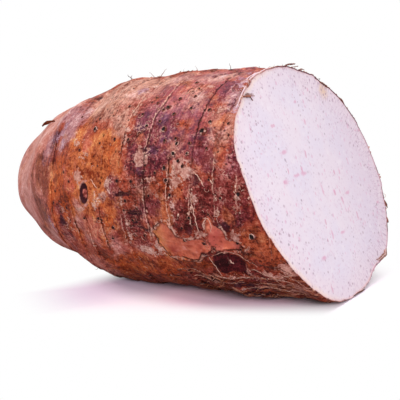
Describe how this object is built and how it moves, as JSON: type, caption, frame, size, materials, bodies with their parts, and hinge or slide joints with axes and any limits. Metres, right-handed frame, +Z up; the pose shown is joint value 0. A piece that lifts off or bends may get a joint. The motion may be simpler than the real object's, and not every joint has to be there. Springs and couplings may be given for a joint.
{
  "type": "malanga corm",
  "caption": "Large taro-type malanga corm with ringed brown skin, cut across near its thick end to show pale flesh, lying on its side.",
  "frame": {"origin": "on the resting surface, under the middle of the corm's outline seen from above", "axes": "+X along the corm from its blunt tip to the cut face, +Z up"},
  "size_m": [0.2058, 0.1342, 0.1069],
  "materials": {
    "corm_skin": "dry papery brown skin with leaf-scar rings, root scars and peeled orange patches",
    "cut_flesh": "moist starchy lavender-white flesh with fine violet flecks"
  },
  "bodies": {
    "root": {"corm": "corm_skin"}
  },
  "joints": []
}
